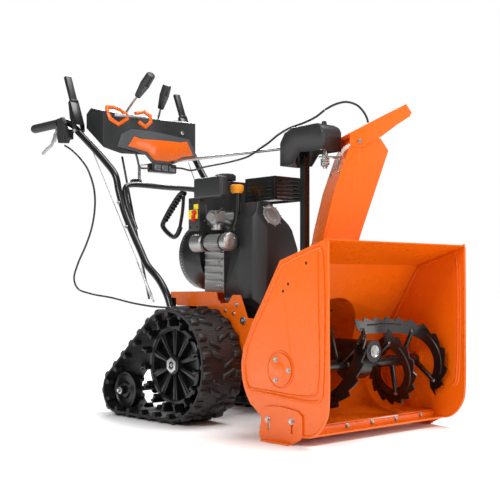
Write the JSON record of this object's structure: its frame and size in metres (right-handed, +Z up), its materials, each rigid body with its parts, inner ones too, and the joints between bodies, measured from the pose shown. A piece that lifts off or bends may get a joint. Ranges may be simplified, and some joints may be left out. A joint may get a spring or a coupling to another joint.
{
  "type": "two stage snowblower",
  "caption": "Orange two stage snowblower on triangular rubber tracks, with a serrated auger in a wide housing, a turning chute with a tilting deflector, an engine and a handlebar with a dash.",
  "frame": {"origin": "centre of the machine's footprint, on the ground", "axes": "+Y from the auger housing to the grips, +X to the operator's left, +Z up"},
  "size_m": [0.656, 1.623, 1.2248],
  "materials": {
    "orange_paint": "gloss powder coat",
    "black_paint": "satin powder coat",
    "dark_plastic": "moulded dark grey",
    "black_plastic": "moulded black",
    "rubber": "matt",
    "cast_metal": "as cast",
    "bright_steel": "bright zinc plated",
    "yellow_plastic": "moulded",
    "red_plastic": "moulded"
  },
  "bodies": {
    "chassis": {"auger_belt": "rubber", "auger_gearcase": "black_paint", "auger_housing": "orange_paint", "axle_housing": "black_paint", "belt_cover": "dark_plastic", "blower_housing": "black_plastic", "carburettor_cover": "dark_plastic", "chute_base_ring": "black_paint", "chute_post": "black_paint", "clutch_cable_left": "cast_metal", "clutch_cable_right": "cast_metal", "dash_console": "dark_plastic", "deflector_cable_rear": "rubber", "engine_block": "cast_metal", "engine_frame": "orange_paint", "fuel_tank": "black_plastic", "gearhead_cover": "dark_plastic", "grip_left": "rubber", "grip_right": "rubber", "handle_crossbar": "black_paint", "handlebar_left": "black_paint", "handlebar_right": "black_paint", "lever_housing": "dark_plastic", "mode_cable": "rubber", "muffler": "cast_metal", "muffler_guard": "black_paint", "scraper_bar": "orange_paint", "starter_motor": "cast_metal"},
    "auger": {"auger_shaft": "bright_steel", "auger_rake_right": "black_paint", "auger_rake_left": "black_paint"},
    "impeller": {"impeller": "black_paint", "impeller_shaft": "bright_steel", "impeller_pulley": "cast_metal"},
    "engine_output": {"engine_pulley": "bright_steel"},
    "chute": {"chute": "orange_paint", "chute_arm": "bright_steel", "deflector_cable_front": "rubber"},
    "deflector": {"deflector": "orange_paint"},
    "chute_crank": {"chute_crank": "bright_steel"},
    "speed_lever": {"speed_lever": "dark_plastic"},
    "shift_rod": {"shift_rod": "bright_steel"},
    "deflector_lever": {"deflector_lever": "dark_plastic"},
    "clutch_lever_right": {"clutch_lever_right": "black_plastic"},
    "clutch_lever_left": {"clutch_lever_left": "black_plastic"},
    "mode_trigger": {"mode_trigger": "cast_metal"},
    "track_frame": {"track_belt_right": "rubber", "track_belt_left": "rubber", "track_arm_right": "black_paint", "track_arm_left": "black_paint"},
    "drive_wheel_right": {"drive_wheel_right": "black_plastic"},
    "drive_wheel_left": {"drive_wheel_left": "black_plastic"},
    "idler_wheel_right": {"idler_wheel_right": "black_plastic"},
    "idler_wheel_left": {"idler_wheel_left": "black_plastic"},
    "skid_shoe_right": {"skid_shoe_right": "orange_paint"},
    "skid_shoe_left": {"skid_shoe_left": "orange_paint"},
    "recoil_handle": {"recoil_handle": "black_plastic"},
    "fuel_cap": {"fuel_cap": "dark_plastic"},
    "oil_cap": {"oil_cap": "yellow_plastic"},
    "engine_key": {"engine_key": "red_plastic"}
  },
  "joints": [
    {"name": "auger_spin", "type": "hinge", "parent": "chassis", "child": "auger", "pos_m": [0, -0.6285, 0.206], "axis": [1, 0, 0], "continuous": true},
    {"name": "impeller_spin", "type": "hinge", "parent": "chassis", "child": "impeller", "pos_m": [0, -0.4515, 0.247], "axis": [0, 1, 0], "continuous": true},
    {"name": "engine_spin", "type": "hinge", "parent": "chassis", "child": "engine_output", "pos_m": [0, -0.2515, 0.546], "axis": [0, 1, 0], "continuous": true},
    {"name": "chute_turn", "type": "hinge", "parent": "chassis", "child": "chute", "pos_m": [0, -0.5095, 0.458], "axis": [0, 0, 1], "range_deg": [-128, 37]},
    {"name": "deflector_tilt", "type": "hinge", "parent": "chute", "child": "deflector", "pos_m": [0.07463, -0.55613, 0.88], "axis": [0.5299, 0.848, 0], "range_deg": [0, 30]},
    {"name": "chute_crank_turn", "type": "hinge", "parent": "chassis", "child": "chute_crank", "pos_m": [0, -0.3835, 0.885], "axis": [0.0562, 0.998, 0.0292], "range_deg": [-1024, 296]},
    {"name": "speed_lever_swing", "type": "hinge", "parent": "chassis", "child": "speed_lever", "pos_m": [-0.115, 0.4505, 1.03], "axis": [-1, 0, 0], "range_deg": [0, 35]},
    {"name": "shift_rod_slide", "type": "slide", "parent": "chassis", "child": "shift_rod", "axis": [0, 0.3043, 0.9526], "range_m": [0, 0.037]},
    {"name": "deflector_lever_swing", "type": "hinge", "parent": "chassis", "child": "deflector_lever", "pos_m": [0.035, 0.4285, 1.02], "axis": [-1, 0, 0], "range_deg": [0, 30]},
    {"name": "clutch_lever_right_press", "type": "hinge", "parent": "chassis", "child": "clutch_lever_right", "pos_m": [-0.258, 0.4905, 1.01], "axis": [-1, 0, 0], "range_deg": [0, 32], "stiffness_Nm_per_rad": 2, "springref_deg": -20.05},
    {"name": "clutch_lever_left_press", "type": "hinge", "parent": "chassis", "child": "clutch_lever_left", "pos_m": [0.258, 0.4905, 1.01], "axis": [-1, 0, 0], "range_deg": [0, 32], "stiffness_Nm_per_rad": 2, "springref_deg": -20.05},
    {"name": "mode_trigger_squeeze", "type": "hinge", "parent": "chassis", "child": "mode_trigger", "pos_m": [-0.277, 0.6025, 1.024], "axis": [1, 0, 0], "range_deg": [0, 25], "stiffness_Nm_per_rad": 0.8, "springref_deg": -17.19},
    {"name": "track_frame_tilt", "type": "hinge", "parent": "chassis", "child": "track_frame", "pos_m": [0, -0.1255, 0.187], "axis": [1, 0, 0], "range_deg": [-8, 12]},
    {"name": "drive_wheel_right_spin", "type": "hinge", "parent": "chassis", "child": "drive_wheel_right", "pos_m": [-0.24, -0.1255, 0.187], "axis": [1, 0, 0], "continuous": true},
    {"name": "drive_wheel_left_spin", "type": "hinge", "parent": "chassis", "child": "drive_wheel_left", "pos_m": [0.24, -0.1255, 0.187], "axis": [1, 0, 0], "continuous": true},
    {"name": "idler_wheel_right_spin", "type": "hinge", "parent": "track_frame", "child": "idler_wheel_right", "pos_m": [-0.268, 0.1645, 0.084], "axis": [1, 0, 0], "continuous": true},
    {"name": "idler_wheel_left_spin", "type": "hinge", "parent": "track_frame", "child": "idler_wheel_left", "pos_m": [0.268, 0.1645, 0.084], "axis": [1, 0, 0], "continuous": true},
    {"name": "skid_shoe_right_height", "type": "slide", "parent": "chassis", "child": "skid_shoe_right", "axis": [0, 0, 1], "range_m": [0, 0.025]},
    {"name": "skid_shoe_left_height", "type": "slide", "parent": "chassis", "child": "skid_shoe_left", "axis": [0, 0, 1], "range_m": [0, 0.025]},
    {"name": "recoil_pull", "type": "slide", "parent": "chassis", "child": "recoil_handle", "axis": [0, 1, 0], "range_m": [0, 0.6], "stiffness_N_per_m": 12, "springref_m": -0.4},
    {"name": "fuel_cap_turn", "type": "hinge", "parent": "chassis", "child": "fuel_cap", "pos_m": [0, -0.0365, 0.81], "axis": [0, 0, 1], "range_deg": [0, 120]},
    {"name": "oil_cap_lift", "type": "slide", "parent": "chassis", "child": "oil_cap", "axis": [0, 0, 1], "range_m": [0, 0.14]},
    {"name": "engine_key_pull", "type": "slide", "parent": "chassis", "child": "engine_key", "axis": [-1, 0, 0], "range_m": [0, 0.014]}
  ],
  "couplings": [
    {"joint": "impeller_spin", "follows": "auger_spin", "ratio": 10},
    {"joint": "engine_spin", "follows": "auger_spin", "ratio": 16.842},
    {"joint": "chute_crank_turn", "follows": "chute_turn", "ratio": 8},
    {"joint": "deflector_lever_swing", "follows": "deflector_tilt", "ratio": 1},
    {"joint": "shift_rod_slide", "follows": "speed_lever_swing", "m_per_rad": 0.06},
    {"joint": "idler_wheel_right_spin", "follows": "drive_wheel_right_spin", "ratio": 2.5373},
    {"joint": "idler_wheel_left_spin", "follows": "drive_wheel_left_spin", "ratio": 2.5373}
  ]
}
